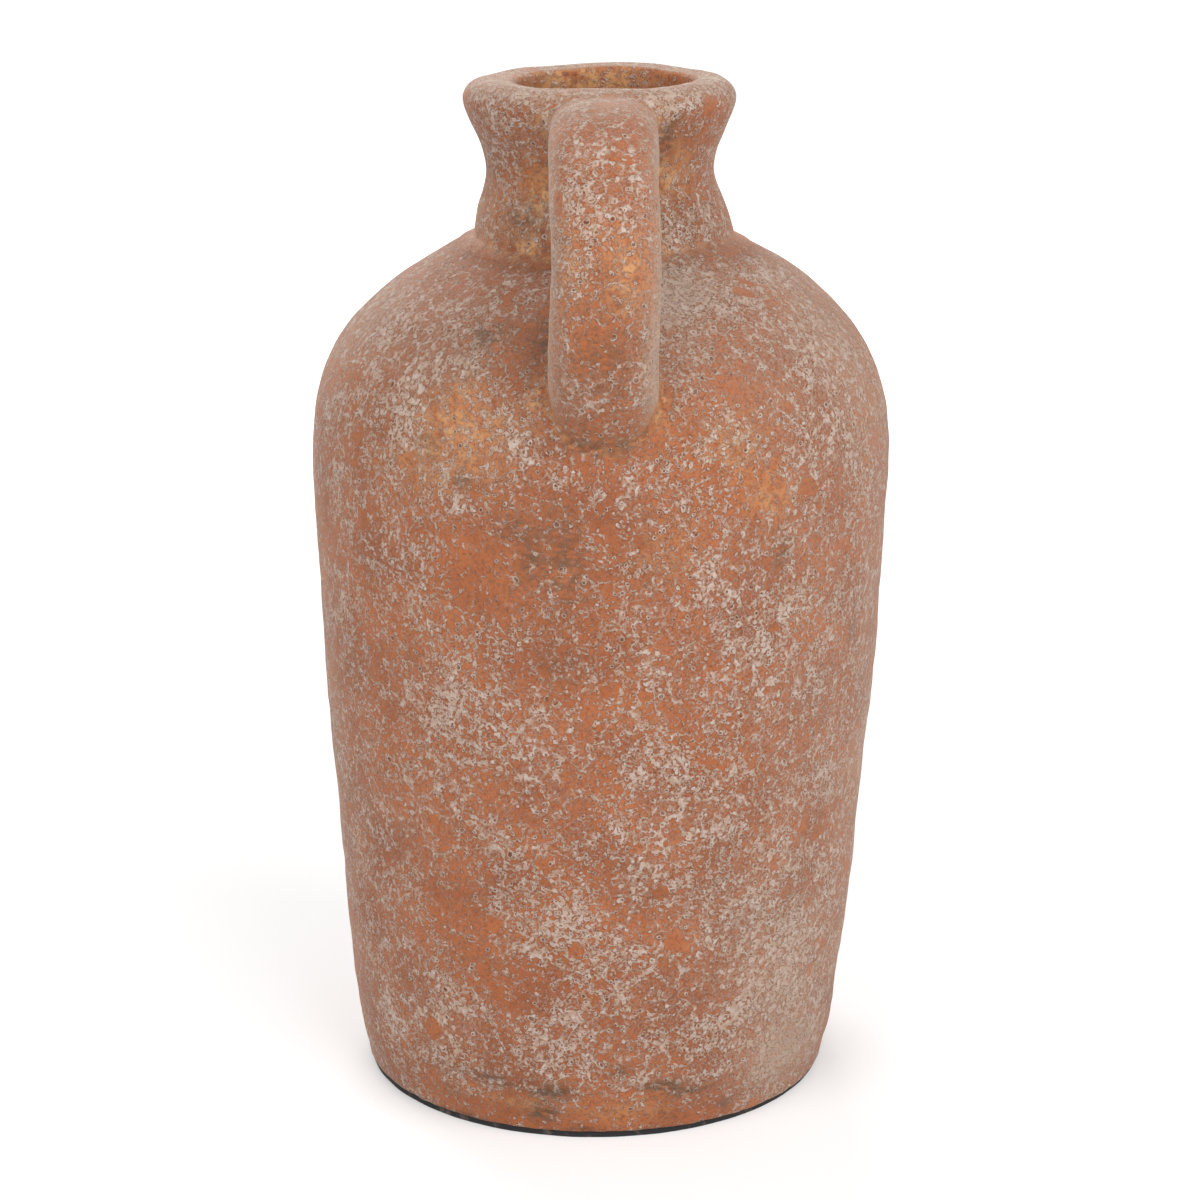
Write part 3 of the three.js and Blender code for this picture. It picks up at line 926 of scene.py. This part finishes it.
@dataclass
class Seam:
    """Broken groove along a luted joint, pressed in unevenly."""

    height: float
    inward: float = 0.45
    downward: float = 0.0
    reach: float = 1.6
    inside_radius: float = 60.0
    even_depth: float = 0.3
    uneven_depth: float = 0.7
    breaks: tuple[int, int] = (3, 17)
    seed: int = 11

    def press(self, rings: np.ndarray) -> np.ndarray:
        """Presses the groove into rings, with a depth that varies round the pot and fades off with height.

        Args:
            rings: Rings of points.

        Returns:
            The pressed rings.
        """
        azimuth, radius = polar(rings)
        uneven = self.uneven_depth * ring_noise(azimuth, self.seed, *self.breaks)
        broken = np.clip(self.even_depth + uneven, 0, 1)
        near = np.clip(1 - np.abs(rings[..., 2] - self.height) / self.reach, 0, 1) ** 2
        amount = np.where(radius > self.inside_radius, broken * near, 0)
        pressed = rings.copy()
        pressed[..., :2] *= (1 - self.inward * amount / np.maximum(radius, 1))[..., None]
        pressed[..., 2] -= self.downward * amount
        return pressed


@dataclass
class Body:
    """Tapering wall and rounded shoulder, hollow, from the seam up to the seat of the neck."""

    seam: Seam
    neck_seam: Seam
    hands: HandMarks
    wall: float = 8.5
    wall_lean: float = 6.0
    wall_low_pull: float = 40.0
    wall_high_pull: float = 44.0
    shoulder_height: float = 80.5
    shoulder_low_pull: float = 32.0
    shoulder_high_pull: float = 56.5
    shoulder_slope: float = 27.4
    seat_radius: float = 47.6
    socket_radius: float = 37.5
    columns: int = 400
    seam_zone: float = 3.0
    seam_step: float = 0.4
    neck_zone: float = 2.0
    neck_step: float = 0.5
    fine: float = 1.75
    coarse: float = 9.0

    def face(self) -> Skin:
        """Draws the outside: a wall that leans out and straightens, then a shoulder that turns in.

        Returns:
            The outside, from the seam up to the seat of the neck.
        """
        top = box_mm("body_wall")[1]
        seam = (box_mm("foot_dish")[1][0], self.seam.height)
        belly = (top[0], top[2] - self.shoulder_height)
        seat = (self.seat_radius, top[2])
        wall = sweep(seam, (self.wall_lean, self.wall_low_pull), belly, (0, self.wall_high_pull))
        turned_in = (self.shoulder_slope - 90, self.shoulder_high_pull)
        shoulder = sweep(belly, (0, self.shoulder_low_pull), seat, turned_in)
        return Skin(np.vstack([wall, shoulder[1:]]))

    def build(self, material: Material) -> Skin:
        """Builds and dresses the body.

        Args:
            material: Clay finish.

        Returns:
            Its outside, for the pieces that are luted to it.
        """
        face = self.face()
        inside = face.sunk(self.wall)
        inside = inside[inside[:, 0] > self.socket_radius]
        low = face.points[face.points[:, 1] < self.seam.height + self.seam_zone]
        high = face.points[face.points[:, 1] > self.neck_seam.height - self.neck_zone]
        outline = np.vstack([
            even(low, self.seam_step),
            even(face.points[len(low):-len(high)], self.fine),
            even(high, self.neck_step),
            [(self.socket_radius, face.points[-1, 1])],
            even(inside[::-1], self.coarse),
        ])
        rings = self.neck_seam.press(self.seam.press(revolve(outline, self.columns)))
        fields = clay_fields(rings, JOINT_SPOTS)
        piece = closed_mesh("pot_body", self.hands.moved(rings), fields, looped=True)
        fit(piece, "body_wall", material)
        return face


@dataclass
class Foot:
    """Shallow dish under the wall: rounded at its lower edge, with the floor of the pot inside."""

    seam: Seam
    hands: HandMarks
    edge: float = 1.6
    spread: float = 3.3
    flank_lean: float = 12.0
    wall_lean: float = 6.0
    floor: float = 11.0
    lap_inside: float = 8.5
    lap: float = 4.0
    cove: float = 6.0
    hub: float = 2.0
    hang: Spots = spots((0, 0, ROUND, ROUND, 0.25), (62, 0, 42, ROUND, 0.9))
    hang_reach: float = 0.5
    hang_height: float = 5.0
    ragged: float = 0.13
    ragged_waves: tuple[int, int] = (20, 90)
    seed: int = 41
    columns: int = 400
    flat_step: float = 12.0
    edge_step: float = 0.6
    flank_step: float = 0.5
    cove_step: float = 1.5

    def build(self, material: Material) -> None:
        """Builds and dresses the foot: its outline turned about the axis, with a lip that hangs unevenly.

        Args:
            material: Clay finish.
        """
        low, high = box_mm("foot_dish")
        radius = high[0] - self.spread
        edge = (radius, low[2] + self.edge)
        seam = (high[0], self.seam.height)
        rise = (seam[1] - edge[1]) / 2
        under = quarter((radius - self.edge, low[2]), (radius, low[2]), edge)
        flank = sweep(edge, (self.flank_lean, rise), seam, (self.wall_lean, rise))
        inner = high[0] - self.lap_inside
        floor = low[2] + self.floor
        cove = quarter((inner, floor + self.cove), (inner, floor), (inner - self.cove, floor))
        outline = np.vstack([
            even([(self.hub, low[2]), (radius - self.edge, low[2])], self.flat_step),
            even(under, self.edge_step)[1:],
            even(flank, self.flank_step)[1:],
            [(inner + self.lap, seam[1]), (inner + self.lap, high[2]), (inner, high[2])],
            even(cove, self.cove_step),
            even([(inner - self.cove, floor), (self.hub, floor)], self.flat_step)[1:],
        ])
        rings = self.seam.press(revolve(outline, self.columns))
        azimuth, out = polar(rings)
        clear = np.clip((out - box_mm("base_pad")[1][0]) / self.hang_reach, 0, 1)
        lip = clear * np.clip(1 - (rings[..., 2] - low[2]) / self.hang_height, 0, 1)
        uneven = self.ragged * ring_noise(azimuth, self.seed, *self.ragged_waves)
        hang = painted(rings, 0.0, self.hang) + uneven
        rings[..., 2] -= lip * hang
        piece = closed_mesh("pot_foot", self.hands.moved(rings), clay_fields(rings), looped=False)
        fit(piece, "foot_dish", material)


@dataclass
class Neck:
    """Short neck: a filleted foot on the shoulder, a drawn-in waist and a thick rounded lip."""

    hands: HandMarks
    mouth_radius: float = 32.2
    toe_radius: float = 51.6
    toe_sink: float = 0.15
    toe_turn: float = 40.0
    toe_pull: float = 1.2
    band_radius: float = 47.8
    band_rise: float = 0.35
    slope: float = 27.4
    fillet_top: Pair = (12.9, 2.0)
    fillet_pull: float = 1.6
    foot_lean: float = 10.6
    low_pull: float = 14.0
    waist_wall: float = 7.1
    waist_height: float = 23.9
    waist_pull: float = 8.0
    lip_wall: float = 14.6
    lip_height: float = 48.2
    lip_pull: float = 5.4
    crest_wall: float = 6.3
    mouth_bare: float = -0.45
    mouth_crust: Spots = spots((-95, 352, 16, 14, 0.5), (160, 350, 9, 7, 0.4))
    # Copper inside the mouth: partly rubbed copper, partly painted light on the inner wall.
    mouth_rub_and_light: float = 0.1
    mouth_copper_and_light: Spots = spots((-155, 348, 16, 14, 0.7))
    folds: Spots = spots((-95, 354, 24, 10, 3.6))
    mouth_edge: float = 1.8
    crown_fall: float = 0.5
    seat_drop: float = 0.8
    seat_inside: float = 4.0
    columns: int = 320
    fine: float = 0.9
    coarse: float = 2.5

    def build(self, shoulder: Skin, material: Material) -> Skin:
        """Builds and dresses the neck.

        Args:
            shoulder: Outside of the body that it stands on.
            material: Clay finish.

        Returns:
            Its outside, for the handle that is luted to it.
        """
        low, high = box_mm("neck_collar")
        foot = low[2]
        toe_height, band_height = np.interp(
            (-self.toe_radius, -self.band_radius), -shoulder.points[:, 0], shoulder.points[:, 1]
        )
        toe = (self.toe_radius, toe_height - self.toe_sink)
        band = (self.band_radius, band_height + self.band_rise)
        rise = (self.mouth_radius + self.fillet_top[0], foot + self.fillet_top[1])
        waist = (self.mouth_radius + self.waist_wall, foot + self.waist_height)
        lip = (self.mouth_radius + self.lip_wall, foot + self.lip_height)
        crest = (self.mouth_radius + self.crest_wall, high[2])
        brim = (self.mouth_radius + self.mouth_edge, crest[1] - self.crown_fall)
        bore_top = (self.mouth_radius, brim[1] - self.mouth_edge)
        along = self.slope - 90
        fillet = np.vstack([
            sweep(toe, (self.slope - self.toe_turn, self.toe_pull), band, (along, self.toe_pull)),
            sweep(band, (along, self.fillet_pull), rise, (-self.foot_lean, self.fillet_pull))[1:],
        ])
        lower = sweep(rise, (-self.foot_lean, self.low_pull), waist, (0, self.waist_pull))
        upper = sweep(waist, (0, self.waist_pull), lip, (0, self.lip_pull))
        crown = quarter(lip, (lip[0], crest[1]), crest)
        mouth = np.vstack([crest, quarter(brim, (bore_top[0], brim[1]), bore_top)])
        face = np.vstack([fillet, lower[1:], upper[1:], crown[1:]])
        under = foot - self.seat_drop
        outline = np.vstack([
            even(np.vstack([face, mouth[1:]]), self.fine),
            even([bore_top, (self.mouth_radius, under)], self.coarse)[1:],
            [(self.toe_radius - self.seat_inside, under)],
        ])
        rings = revolve(outline, self.columns)
        fields = clay_fields(rings, JOINT_SPOTS)
        radius = polar(rings)[1]
        inside = radius < self.mouth_radius + self.mouth_edge / 2
        # Inside the mouth: its own crust, no dust, and copper that is partly painted light.
        fields[Field.CRUST] += inside * painted(rings, self.mouth_bare, self.mouth_crust)
        fields[Field.DUST_AND_SHEEN] *= ~inside
        fields[Field.COPPER] += inside * painted(rings, self.mouth_rub_and_light, self.mouth_copper_and_light)
        inmost = np.clip(1 - (radius - self.mouth_radius) / self.crest_wall, 0, 1)
        fold = painted(rings, 0.0, self.folds) * inmost
        rings[..., :2] *= (1 - fold / radius)[..., None]
        piece = closed_mesh("pot_neck", self.hands.moved(rings), fields, looped=True)
        fit(piece, "neck_collar", material)
        return Skin(face)


@dataclass
class Handle:
    """Pulled ear handle: a rounded strap bent from the lip to the shoulder, with its ends smeared on."""

    hands: HandMarks
    lip_radius: float = 46.8
    below_crest: float = 2.0
    shank: float = 2.0
    drop: float = 52.0
    width: float = 35.3
    thickness: float = 24.0
    squareness: Triple = (2.7, 2.4, 2.0)
    squareness_at: Triple = (0.15, 0.5, 1.0)
    aside: float = 1.25
    lip_smear: float = 3.2
    shoulder_smear: float = 3.0
    end_thickening: float = 2.0
    crown_share: Pair = (0.5, 0.68)
    sink: float = 0.12
    root: float = 2.5
    ragged: float = 0.18
    ragged_waves: tuple[int, int] = (2, 9)
    seed: int = 5
    furthest_turn: float = math.radians(155)
    halvings: int = 40
    dust_reach: float = 20.0
    # Pale edges of the strap, dust and painted sheen, each as an amount and a power.
    right_dust_and_sheen: Pair = (0.9, 5)
    left_dust_and_sheen: Pair = (0.8, 6)
    smear_rings: int = 6
    smear_crust: float = -0.45
    smear_copper: float = 0.4
    smear_stain: float = 0.2
    sides: int = 144
    steps: int = 150
    smear_steps: int = 8

    def section(self, share: float | np.ndarray) -> tuple[np.ndarray, np.ndarray]:
        """Draws the strap's section as a superellipse, square at the lip, which turns to an oval with a
        high crown towards the shoulder.

        Args:
            share: 0 at the lip to 1 at the shoulder.

        Returns:
            Distances across the strap and out from its middle, for each side.
        """
        turn = np.linspace(0, 2 * math.pi, self.sides, endpoint=False)
        ending = np.clip(2 * np.asarray(share) - 1, 0, 1) ** 2
        power = 2 / np.interp(share, self.squareness_at, self.squareness)
        thickness = self.thickness + self.end_thickening * ending
        crown = np.interp(ending, (0, 1), self.crown_share)
        across = np.sign(np.cos(turn)) * np.abs(np.cos(turn)) ** power
        out = np.abs(np.sin(turn)) ** power
        out = np.where(np.sin(turn) > 0, out * crown, -out * (1 - crown)) + 0.5 - crown
        return across * self.width / 2, out * thickness

    def smear(self, start: np.ndarray, hit: np.ndarray, skin: Skin, reach: float) -> list[np.ndarray]:
        """Rounds an end of the strap onto the pot: each line bends from the strap, by the point where it
        would hit the pot, to a point moved outwards along the pot's surface.

        Args:
            start: Ring where the strap still has its own section.
            hit: Ring where it would meet the pot.
            skin: Outside of the pot piece.
            reach: How far the clay is smeared along the surface.

        Returns:
            Rings from the strap to the pot, and a last one inside the clay.
        """
        azimuth, radius = polar(hit)
        run = skin.run_at(hit[:, 2])
        chart = np.column_stack([run, azimuth * radius])
        along = np.roll(chart, -1, axis=0) - np.roll(chart, 1, axis=0)
        outward = np.column_stack([along[:, 1], -along[:, 0]])
        outward /= np.linalg.norm(outward, axis=1, keepdims=True)
        if np.einsum("ij,ij->", outward, chart - chart.mean(axis=0)) < 0:
            outward = -outward
        turn = np.linspace(0, 2 * math.pi, self.sides, endpoint=False)
        uneven = reach * (1 + self.ragged * ring_noise(turn, self.seed, *self.ragged_waves))
        aside = azimuth + uneven * outward[:, 1] / radius
        end = skin.place(run + uneven * outward[:, 0], aside, self.sink)
        inner = skin.place(run, azimuth, self.root)
        turns = np.linspace(0, 1, self.smear_steps + 1)
        rings = [(1 - t) ** 2 * start + 2 * t * (1 - t) * hit + t ** 2 * end for t in turns]
        return [*rings, inner]

    def build(self, neck: Skin, shoulder: Skin, material: Material) -> None:
        """Builds and dresses the handle: the strap's section on a line off the lip and round an arc.

        Args:
            neck: Outside of the neck that it leaves.
            shoulder: Outside of the body that it comes down on.
            material: Clay finish.
        """
        crest = box_mm("neck_collar")[1][2]
        outermost = -box_mm("handle")[0][1]
        top = crest - self.below_crest - self.thickness / 2
        middle = self.lip_radius + self.shank
        span = outermost - self.thickness / 2 - middle

        def strap(turn: np.ndarray, share: np.ndarray | float) -> np.ndarray:
            """Places the strap's section square to an elliptic arc.

            Args:
                turn: Turns of the arc, 0 at its top.
                share: 0 at the lip to 1 at the shoulder.

            Returns:
                Points in space.
            """
            across, out = self.section(share)
            norm = np.hypot(self.drop * np.sin(turn), span * np.cos(turn))
            radius = middle + span * np.sin(turn) + out * self.drop * np.sin(turn) / norm
            height = top - self.drop * (1 - np.cos(turn)) + out * span * np.cos(turn) / norm
            return np.stack(np.broadcast_arrays(across + self.aside, -radius, height), axis=-1)

        # Halving finds the turn at which each line of the strap meets the shoulder.
        near, far = (np.full(self.sides, turn) for turn in (math.pi / 2, self.furthest_turn))
        for _ in range(self.halvings):
            guess = (near + far) / 2
            trial = strap(guess, 1.0)
            outside = polar(trial)[1] > shoulder.radius_at(trial[:, 2])
            near, far = np.where(outside, guess, near), np.where(outside, far, guess)
        low_hit = strap(near, 1.0)
        last = near - self.shoulder_smear / (self.drop + self.section(1.0)[1])
        share = np.linspace(0, 1, self.steps + 1)[:, None]
        arc = strap(share * last, share)
        across = arc[0, :, 0]
        lip_line = np.sqrt(neck.radius_at(arc[0, :, 2]) ** 2 - across ** 2)
        top_hit = np.stack([across, -lip_line, arc[0, :, 2]], axis=-1)
        top_start = np.stack([across, -(lip_line + self.lip_smear), arc[0, :, 2]], axis=-1)
        rings = np.stack([
            *self.smear(top_start, top_hit, neck, self.lip_smear)[::-1],
            (top_start + arc[0]) / 2,
            *arc[:-1],
            *self.smear(arc[-1], low_hit, shoulder, self.shoulder_smear),
        ])
        fields = clay_fields(rings, STRAP_SPOTS)
        edge = (rings[..., 0] - self.aside) * 2 / self.width
        # Dust and painted sheen along the strap's edges, fading in as the strap comes out towards the
        # front.
        shown = np.clip((-rings[..., 1] - self.lip_radius) / self.dust_reach, 0, 1)
        for side, (amount, power) in ((edge, self.right_dust_and_sheen), (-edge, self.left_dust_and_sheen)):
            fields[Field.DUST_AND_SHEEN] += shown * amount * np.clip(side, 0, 1) ** power
        left = len(rings) - self.smear_steps - np.arange(len(rings))[:, None]
        smeared = np.clip(1 - left / self.smear_rings, 0, 1)
        fields[Field.DUST_AND_SHEEN] *= 1 - smeared
        fields[Field.CRUST] += self.smear_crust * smeared
        fields[Field.COPPER] += self.smear_copper * smeared
        fields[Field.STAIN_AND_SHADE] += self.smear_stain * smeared
        piece = closed_mesh("pot_handle", self.hands.moved(rings), fields, looped=False)
        fit(piece, "handle", material)


@dataclass
class Pad:
    """Thin rubber disc glued under the foot, cut by hand so that its edge wanders a little."""

    hands: HandMarks
    chamfer: float = 0.3
    wander: float = 0.08
    wander_waves: tuple[int, int] = (5, 40)
    seed: int = 23
    hub: float = 2.0
    columns: int = 360
    flat_step: float = 10.0
    side_step: float = 0.5
    rim_steps: int = 4

    def build(self, material: Material) -> None:
        """Builds and dresses the pad: a disc with a rounded rim whose radius varies round it.

        Args:
            material: Rubber finish.
        """
        low, high = box_mm("base_pad")
        radius, top = high[0], box_mm("foot_dish")[0][2]
        flat = (radius - self.chamfer, low[2])
        side = (radius, low[2] + self.chamfer)
        outline = np.vstack([
            even([(self.hub, low[2]), flat], self.flat_step),
            quarter(flat, (radius, low[2]), side, self.rim_steps)[1:],
            even([side, (radius, top)], self.side_step)[1:],
            even([(radius, top), (self.hub, top)], self.flat_step)[1:],
        ])
        rings = revolve(outline, self.columns)
        uneven = ring_noise(polar(rings)[0], self.seed, *self.wander_waves)
        rings[..., :2] *= (1 + self.wander / radius * uneven)[..., None]
        piece = closed_mesh("foot_pad", self.hands.moved(rings), {}, looped=False)
        fit(piece, "base_pad", material)


# Studio

@dataclass(frozen=True)
class Lamp:
    """Square soft lamp: where it hangs in metres, the length of its side, its power and what it faces."""

    name: str
    place: Triple
    size: float
    watts: float
    aim: Triple = (0.0, 0.0, 0.2)

    def hang(self) -> None:
        """Hangs the lamp, turned so that its face looks along the line to its aim."""
        data = bpy.data.lights.new(self.name, "AREA")
        data.shape = "SQUARE"
        data.size = self.size
        data.energy = self.watts
        lamp = in_scene(self.name, data)
        lamp.location = self.place
        x, y, z = np.subtract(self.place, self.aim)
        lamp.rotation_euler = (math.atan2(math.hypot(x, y), z), 0, math.atan2(y, x) + math.pi / 2)


@dataclass
class Studio:
    """White floor without a horizon, soft daylight all round and three large lamps."""

    floor_size: float = 24.0
    floor: str = "#e6e6e6"
    near_lift: float = 0.2
    far_lift: float = 0.72
    near: float = 0.5
    far: float = 1.6
    day: float = 0.452
    lamps: tuple[Lamp, ...] = (
        Lamp("key_lamp", (1.0, -1.1, 1.15), 1.7, 25.8),
        Lamp("fill_lamp", (-0.95, -1.15, 1.05), 1.2, 13.2),
        Lamp("back_lamp", (-0.5, 1.5, 1.2), 1.4, 22),
    )
    lens: float = 97.83
    sensor: float = 36.0
    furthest: float = 100.0
    pitch: float = 16.09
    eye: Triple = (0.0, -1.1164, 0.4921)

    def camera(self) -> None:
        """Sets the camera at the photograph's viewing angle."""
        data = bpy.data.cameras.new("studio_camera")
        data.lens = self.lens
        data.sensor_width = self.sensor
        data.clip_end = self.furthest
        eye = in_scene("studio_camera", data)
        eye.location = self.eye
        eye.rotation_euler = (math.radians(90 - self.pitch), 0, 0)
        bpy.context.scene.camera = eye

    def seen(self, tree: Tree) -> Socket:
        """Tells the rays that show the background.

        Args:
            tree: Node tree.

        Returns:
            1 for camera, glossy and transmission rays, else 0.
        """
        camera, glossy, through = (
            add(tree, "LightPath", out=f"Is {kind} Ray") for kind in ("Camera", "Glossy", "Transmission")
        )
        direct = add(tree, "Math", (camera, glossy), operation="MAXIMUM")
        return add(tree, "Math", (direct, through), operation="MAXIMUM")

    def ground(self) -> None:
        """Lays the pale floor, which the camera sees as white where no shadow falls, and far off too."""
        material, tree = new_material("studio_floor")
        place = add(tree, "TexCoord", out="Object")
        away = add(tree, "VectorMath", (place,), "Value", operation="LENGTH")
        lift = add(tree, "MapRange", (away, self.near, self.far, self.near_lift, self.far_lift), **SOFT)
        lift = add(tree, "Math", (self.seen(tree), lift), operation="MULTIPLY")
        pale = add(tree, "BsdfDiffuse", {"Color": hex_linear(self.floor)})
        white = add(tree, "Emission", {"Strength": lift})
        both = add(tree, "AddShader", (pale, white))
        add(tree, "OutputMaterial", {"Surface": both})
        half = self.floor_size / 2
        corners = [(-half, -half, 0), (half, -half, 0), (half, half, 0), (-half, half, 0)]
        mesh = bpy.data.meshes.new("studio_floor")
        mesh.from_pydata(corners, [], [(0, 1, 2, 3)])
        mesh.materials.append(material)
        floor = in_scene("studio_floor", mesh)

    def daylight(self) -> None:
        """Fills the room with even white light, seen as white by the camera."""
        world = bpy.data.worlds.new("studio_daylight")
        world.use_nodes = True
        tree = world.node_tree
        tree.nodes.clear()
        strength = add(tree, "Mix", {0: self.seen(tree), 2: self.day, 3: 1.0})
        sky = add(tree, "Background", {"Color": (1, 1, 1, 1), "Strength": strength})
        add(tree, "OutputWorld", {"Surface": sky})
        bpy.context.scene.world = world

    def build(self) -> None:
        """Sets up camera, floor and light."""
        self.camera()
        self.ground()
        self.daylight()
        for lamp in self.lamps:
            lamp.hang()
        bpy.context.scene.view_settings.view_transform = "Standard"


def main() -> None:
    """Builds the studio and the vase."""
    logging.basicConfig(level=logging.INFO)
    Studio().build()
    clay = LimeWashedTerracotta().material()
    rubber = BlackRubberSheet().material()
    hands = HandMarks()
    joint = (box_mm("foot_dish")[1][2] - Foot.lap + box_mm("body_wall")[0][2]) / 2
    seam = Seam(height=joint)
    toe = box_mm("body_wall")[1][2] - TOE_BELOW_SEAT
    neck_seam = Seam(height=toe, inward=0.0, downward=0.55, reach=1.1, inside_radius=45.0, seed=31)
    Pad(hands).build(rubber)
    Foot(seam, hands).build(clay)
    shoulder = Body(seam, neck_seam, hands).build(clay)
    neck = Neck(hands).build(shoulder, clay)
    Handle(hands).build(neck, shoulder, clay)


if __name__ == "__main__":
    main()
